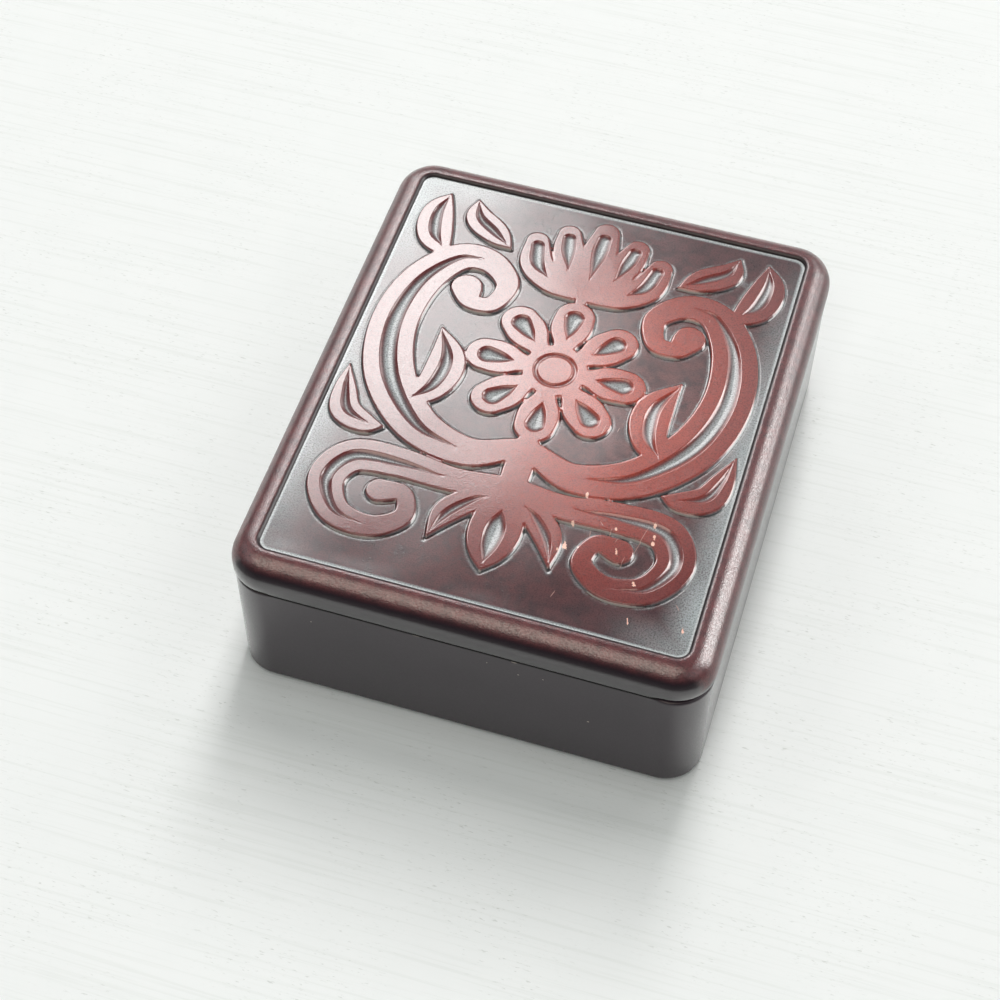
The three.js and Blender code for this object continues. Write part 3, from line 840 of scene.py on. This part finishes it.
class Paint:
    """A material whose colour, roughness and bump are built up from nodes."""

    def __init__(self, name, **constants):
        self.material = bpy.data.materials.new(name)
        self.material.use_nodes = True
        self.tree = self.material.node_tree
        self.shader = self.tree.nodes["Principled BSDF"]
        for key, value in constants.items():
            self.shader.inputs[key.replace("_", " ")].default_value = value
        self.place = self.node("TexCoord", "Object")

    def node(self, kind, output, inputs=None, **settings):
        """An output of a new node, its inputs given as values or as sockets to join."""
        made = self.tree.nodes.new("ShaderNode" + kind)
        for key, value in settings.items():
            setattr(made, key, value)
        for key, value in (inputs or {}).items():
            if isinstance(value, bpy.types.NodeSocket):
                self.tree.links.new(value, made.inputs[key])
            else:
                made.inputs[key].default_value = value
        return made.outputs[output]

    def finish(self, **sockets):
        """Joins sockets to the shader and returns the material."""
        for key, socket in sockets.items():
            self.tree.links.new(socket, self.shader.inputs[key.replace("_", " ")])
        return self.material

    def value(self, name):
        """A value that the mesh keeps at its points."""
        return self.node("Attribute", "Fac", attribute_name=name)

    def noise(self, name, place=None):
        """Clouds of a row of the noises, on the object or on other coordinates."""
        size, detail, roughness = noises[name]
        inputs = {"Vector": place or self.place, "Scale": 1 / size}
        inputs |= {"Detail": detail, "Roughness": roughness}
        return self.node("TexNoise", 0, inputs)

    def ramp(self, name, value, origin=0.0):
        """A smooth change by a row of the ramps, whose inputs are measured from an origin."""
        low, high, at_low, at_high = ramps[name]
        inputs = {"Value": value, "From Min": origin + low, "From Max": origin + high}
        inputs |= {"To Min": at_low, "To Max": at_high}
        return self.node("MapRange", 0, inputs, interpolation_type="SMOOTHSTEP")

    def clouds(self, name, place=None):
        """The noise and the ramp of one name."""
        return self.ramp(name, self.noise(name, place))

    def maths(self, operation, first, *others):
        for other in others:
            first = self.node("Math", 0, {0: first, 1: other}, operation=operation)
        return first

    def times(self, *shares):
        return self.maths("MULTIPLY", *shares)

    def most(self, *shares):
        return self.maths("MAXIMUM", *shares)

    def rest(self, share):
        """What a share leaves of 1."""
        return self.maths("SUBTRACT", 1.0, share)

    def blend(self, share, below, above):
        """One colour turning into another by a share; a colour is a name or a socket."""
        inputs = {0: share, 6: self.colour(below), 7: self.colour(above)}
        return self.node("Mix", 2, inputs, data_type="RGBA")

    def colour(self, value):
        return (*colours[value], 1) if isinstance(value, str) else value

    def bump(self, height, depth):
        inputs = {"Height": height, "Distance": depth, "Strength": 1.0}
        return self.node("Bump", 0, inputs)

    def along(self, axis):
        return self.node("SeparateXYZ", axis, {"Vector": self.place})

    def stretched(self, place, size, turn_degrees=0.0):
        """Coordinates that are 0 at a place and 1 at a size away from it, turned in plan."""
        turn = (0, 0, math.radians(turn_degrees))
        inputs = {"Vector": self.place, "Location": place, "Rotation": turn, "Scale": size}
        return self.node("Mapping", 0, inputs, vector_type="TEXTURE")

    def blob(self, place, size, ramp_name, turn_degrees=0.0, ragged=None):
        """1 round a place, falling by a ramp to 0 at a size away from it."""
        vector = self.stretched(place, size, turn_degrees)
        away = self.node("VectorMath", "Value", {0: vector}, operation="LENGTH")
        if ragged:
            away = self.maths("ADD", away, ragged)
        return self.ramp(ramp_name, away)


class LidPaint(Paint):
    """Satin resin: maroon, rubbed red on the relief, greyed where the glaze has pooled."""

    def __init__(self):
        super().__init__("lid_resin", IOR=1.33, Coat_Roughness=0.1, Coat_IOR=1.8)
        self.outside, self.carved = self.value("outside"), self.value("carved")
        self.from_step, self.field = self.value("from_step"), self.value("field")
        self.height = self.along("Z")
        self.blotch = self.noise("lid_blotch")
        self.speckle = self.noise("resin_speckle")
        self.island = self.ramp("relief", self.outside)
        self.sunk = self.rest(self.island)
        self.hollow = self.times(self.ramp("hollow", self.carved), self.island)
        self.step_wall = self.ramp("step_wall", self.from_step)
        self.front = self.ramp("front", self.along("Y"), lid_low.y)
        self.hem = self.ramp("hem", self.height, lid_bottom)
        self.rough_frame = self.rest(self.most(self.field, self.hem))

    def patch(self, x, y, across, along, fall="patch", *turned):
        """A blob on the lid's top, its place and its reach each way in millimetres."""
        return self.blob((x * mm, y * mm, box_height), (across * mm, along * mm, 1), fall, *turned)

    def glaze_share(self):
        """The glaze at the field's sides and rim, at the relief's foot and in its carving."""
        sides = [self.patch(*row) for row in glaze_pools]
        pool = self.times(self.most(*sides), self.ramp("side_pool", self.from_step))
        pool = self.times(pool, self.clouds("lid_cloud"))
        rim = self.times(self.ramp("rim_pool", self.from_step), self.field)
        foot = self.ramp("foot_pool", self.outside)
        foot = self.times(foot, self.ramp("foot_pool_blotch", self.blotch))
        glaze = self.times(self.most(pool, rim, foot), self.sunk, self.field)
        cut = self.times(self.ramp("cut_pool", self.carved), self.island)
        return self.times(self.most(glaze, cut), self.ramp("glaze_speckle", self.speckle))

    def field_colour(self, glaze):
        """The maroon ground, the red relief, the glaze over both, painted shade at the relief's
        foot, and a step-foot line of glaze and painted highlight.
        """
        heat = self.patch(*hot_patch)
        ground = self.blend(heat, "cool_ground", "hot_ground")
        ground = self.blend(self.patch(*warm_patch), ground, "warm_ground")
        ground = self.blend(self.ramp("ground_stain", self.blotch), ground, "stained_ground")
        red = self.blend(heat, "cool_red", "hot_red")
        red = self.blend(self.ramp("red_fading", self.blotch), red, "faded_red")
        surface = self.blend(self.island, ground, red)
        hollow = self.times(self.hollow, hollow_paint_share)
        surface = self.blend(hollow, surface, "hollow_brown")
        surface = self.blend(glaze, surface, "grey_glaze")
        # A dark line round the raised relief's foot: painted shade in the crease.
        foot_shade_line = self.times(self.ramp("foot_shade_line", self.outside), self.sunk)
        surface = self.blend(foot_shade_line, surface, "foot_shade_black")
        # A pale line along the step's foot: partly grey glaze, partly a painted highlight.
        rim_highlight_line = self.times(self.ramp("rim_highlight_line", self.from_step), self.field)
        return self.blend(rim_highlight_line, surface, "rim_glaze_highlight")

    def moulding_colour(self):
        """The frame round the field: dark plum low on its sides, painted shade on the step down to
        the field, and a painted dark reflection along the front's rounding.
        """
        blotch = self.ramp("moulding_blotch", self.blotch)
        moulding = self.blend(blotch, "dark_moulding", "red_moulding")
        band = self.ramp("band", self.height, box_height)
        side = self.ramp("side", self.height, lid_bottom)
        # Along the front's rounding this plum is a painted dark reflection; on the lower sides it
        # is the lid's own colour.
        side = self.most(side, self.times(band, self.front))
        moulding = self.blend(side, moulding, "plum_and_dark_reflection")
        # Painted shade on the step's wall down to the field.
        return self.blend(self.step_wall, moulding, "step_shade_black")

    def knocked(self, surface):
        """A colour with the scratches and the chips over it."""
        ragged = self.clouds("chip_edge")
        scratches = [
            self.patch(x, y, length / 2, scratch_width / 2, "scratch", lean)
            for x, y, length, lean in scratch_marks
        ]
        chips = [
            self.patch(x, y, length / 2, width / 2, "chip", chip_lean_degrees, ragged)
            for x, y, length, width in chip_marks
        ]
        scratched = self.times(self.most(*scratches), self.field, scratch_paint_share)
        surface = self.blend(scratched, surface, "scratch_pink")
        return self.blend(self.times(self.most(*chips), self.field), surface, "chip_pink")

    def dull_share(self):
        """Where the coat is dull: worn spots, the frame's sides, the step, ground and hollows."""
        waist = self.ramp("waist", self.height, box_height)
        gap = self.times(self.rest(self.most(waist, self.hem)), self.front)
        worn_amount = self.ramp("worn_amount", self.rough_frame)
        worn = self.times(self.clouds("worn_spots"), worn_amount)
        wall = self.times(self.step_wall, self.rest(self.field))
        flanks = self.times(self.rest(waist), self.rest(self.front), flank_dull_share)
        lower_edge = self.ramp("lower_edge", self.height, lid_bottom)
        ground = self.times(self.sunk, self.field, ground_dull_share)
        hollow = self.times(self.hollow, hollow_dull_share)
        return self.most(gap, worn, wall, flanks, lower_edge, ground, hollow)


def lid_resin():
    paint = LidPaint()
    glaze = paint.glaze_share()
    surface = paint.blend(paint.field, paint.moulding_colour(), paint.field_colour(glaze))
    surface = paint.blend(paint.ramp("pits", paint.speckle), surface, "pit_black")
    glazed = paint.times(glaze, glaze_roughness)
    grain = paint.times(paint.speckle, paint.ramp("grain_amount", paint.rough_frame))
    fine = paint.bump(grain, lid_bump_depth)
    return paint.finish(
        Base_Color=paint.knocked(surface),
        Roughness=paint.most(paint.ramp("lid_roughness", paint.field), glazed),
        Coat_Weight=paint.rest(paint.dull_share()),
        Normal=fine,
        Coat_Normal=fine,
    )


def base_resin():
    """The same resin, smooth and a very dark plum, black at the rim as painted shade in the seam.
    """
    paint = Paint("base_resin", IOR=1.35, Coat_Roughness=0.2, Coat_IOR=1.4)
    speckle = paint.noise("resin_speckle")
    body = paint.blend(paint.noise("base_cloud"), "dark_base", "light_base")
    body = paint.blend(paint.ramp("base_grit", speckle), body, "base_grit")
    marks = []
    for x, z, length, width in front_marks:
        size = (length / 2 * mm, front_mark_depth * mm, width / 2 * mm)
        place = (x * mm, base_low.y, z * mm)
        marks.append(paint.blob(place, size, "base_mark"))
    body = paint.blend(paint.most(*marks), body, "base_chip")
    # At the rim, under the lid, painted shade in black for the seam, with no coat.
    glossy = paint.ramp("base_gloss", paint.along("Z"), base_top)
    return paint.finish(
        Base_Color=paint.blend(glossy, "seam_shade_black", body),
        Roughness=paint.ramp("base_roughness", speckle),
        Coat_Weight=glossy,
        Normal=paint.bump(speckle, base_bump_depth),
    )


def velvet_cloth():
    """Short dark wine velvet, its nap brushed in patches."""
    paint = Paint("velvet", Roughness=0.9, Sheen_Weight=0.7, Sheen_Roughness=0.35)
    pile = paint.noise("velvet_pile")
    cloth = paint.blend(paint.clouds("velvet_nap"), "dark_velvet", "light_velvet")
    cloth = paint.blend(paint.ramp("velvet_pile", pile), cloth, "deep_velvet")
    return paint.finish(Base_Color=cloth, Normal=paint.bump(pile, velvet_bump_depth))


def felt_cloth():
    """Thin black felt with matted fibres."""
    paint = Paint("felt", Roughness=1.0, Sheen_Weight=0.25, Sheen_Roughness=0.6)
    cloth = paint.blend(paint.clouds("felt_matting"), "dark_felt", "light_felt")
    fibres = paint.bump(paint.noise("felt_fibre"), felt_bump_depth)
    return paint.finish(Base_Color=cloth, Normal=fibres)


def painted_wood():
    """Pale painted boards: fine dark pores and long faint streaks along the grain."""
    glow = (*backdrop_tone, 1)
    paint = Paint("painted_wood", Specular_IOR_Level=0.1, Roughness=0.85, Emission_Color=glow)
    grain = paint.stretched((0, 0, 0), board_pore_stretch, board_turn_degrees)
    pores = paint.times(paint.clouds("board_pore", grain), paint.clouds("board_drift"))
    grain = paint.stretched((0, 0, 0), board_streak_stretch, board_turn_degrees)
    streaks = paint.clouds("board_streak", grain)
    tone = paint.blend(paint.noise("board_coat"), "dark_board", "light_board")
    tone = paint.blend(streaks, tone, "board_streak")
    tone = paint.blend(paint.times(pores, board_pore_share), tone, "board_pore")
    near = paint.blob((0, 0, 0), (backdrop_reach, backdrop_reach, 1), "backdrop")
    far = paint.times(paint.node("LightPath", "Is Camera Ray"), paint.rest(near))
    return paint.finish(Base_Color=paint.blend(far, tone, "black"), Emission_Strength=far)


def make_floor():
    mesh = bpy.data.meshes.new("table")
    half = floor_half_width
    corners = [(-half, -half, 0), (half, -half, 0), (half, half, 0), (-half, half, 0)]
    mesh.from_pydata(corners, [], [(0, 1, 2, 3)])
    mesh.materials.append(painted_wood())
    made = linked("table", mesh)


def make_lamp(name, azimuth, elevation, width, height, radiance, tint):
    """A soft panel that faces the middle of the scene."""
    turn, rise = math.radians(azimuth), math.radians(elevation)
    data = bpy.data.lights.new(name, "AREA")
    data.shape = "RECTANGLE"
    data.size = 2 * lamp_distance * math.tan(math.radians(width) / 2)
    data.size_y = 2 * lamp_distance * math.tan(math.radians(height) / 2)
    data.energy = radiance * math.pi * data.size * data.size_y
    data.color = tint
    lamp = linked(name, data)
    level = math.cos(rise)
    way = Vector((math.sin(turn) * level, math.cos(turn) * level, math.sin(rise)))
    lamp.location = way * lamp_distance
    lamp.rotation_mode = "QUATERNION"
    lamp.rotation_quaternion = way.to_track_quat("Z", "Y")
    return lamp


def make_lamps():
    for name, row in windows.items():
        make_lamp(name, *row).visible_diffuse = False
    for name, row in fills.items():
        make_lamp(name, *row).visible_glossy = False


def make_world():
    """A dim grey room, pale where the camera looks past the floor."""
    world = bpy.data.worlds.new("room")
    world.use_nodes = True
    tree = world.node_tree
    seen = tree.nodes.new("ShaderNodeLightPath").outputs["Is Camera Ray"]
    tone = tree.nodes.new("ShaderNodeMix")
    tone.data_type = "RGBA"
    tone.inputs[6].default_value = (*[room_grey] * 3, 1)
    tone.inputs[7].default_value = (*backdrop_tone, 1)
    tree.links.new(seen, tone.inputs[0])
    tree.links.new(tone.outputs[2], tree.nodes["Background"].inputs["Color"])
    bpy.context.scene.world = world


def make_camera():
    data = bpy.data.cameras.new("camera")
    data.lens, data.sensor_width = camera_lens, camera_sensor
    camera = linked("camera", data)
    look = (camera_aim - camera_place).to_track_quat("-Z", "Y").to_matrix()
    roll = Matrix.Rotation(math.radians(camera_roll_degrees), 3, "Z")
    camera.matrix_world = Matrix.Translation(camera_place) @ (look @ roll).to_4x4()
    bpy.context.scene.camera = camera


bpy.context.scene.view_settings.view_transform = "Standard"
make_camera()
make_lamps()
make_world()
make_floor()
velvet = velvet_cloth()
make_lid()
make_base()
make_pad("floor_pad", "floor_lining", "base", base_plan, floor_pad_inset, floor_pad_crown, True)
make_pad("lid_pad", "lid_lining", "lid", lid_plan, lid_pad_inset, lid_pad_crown, False)
make_wall_strip()
make_felt()
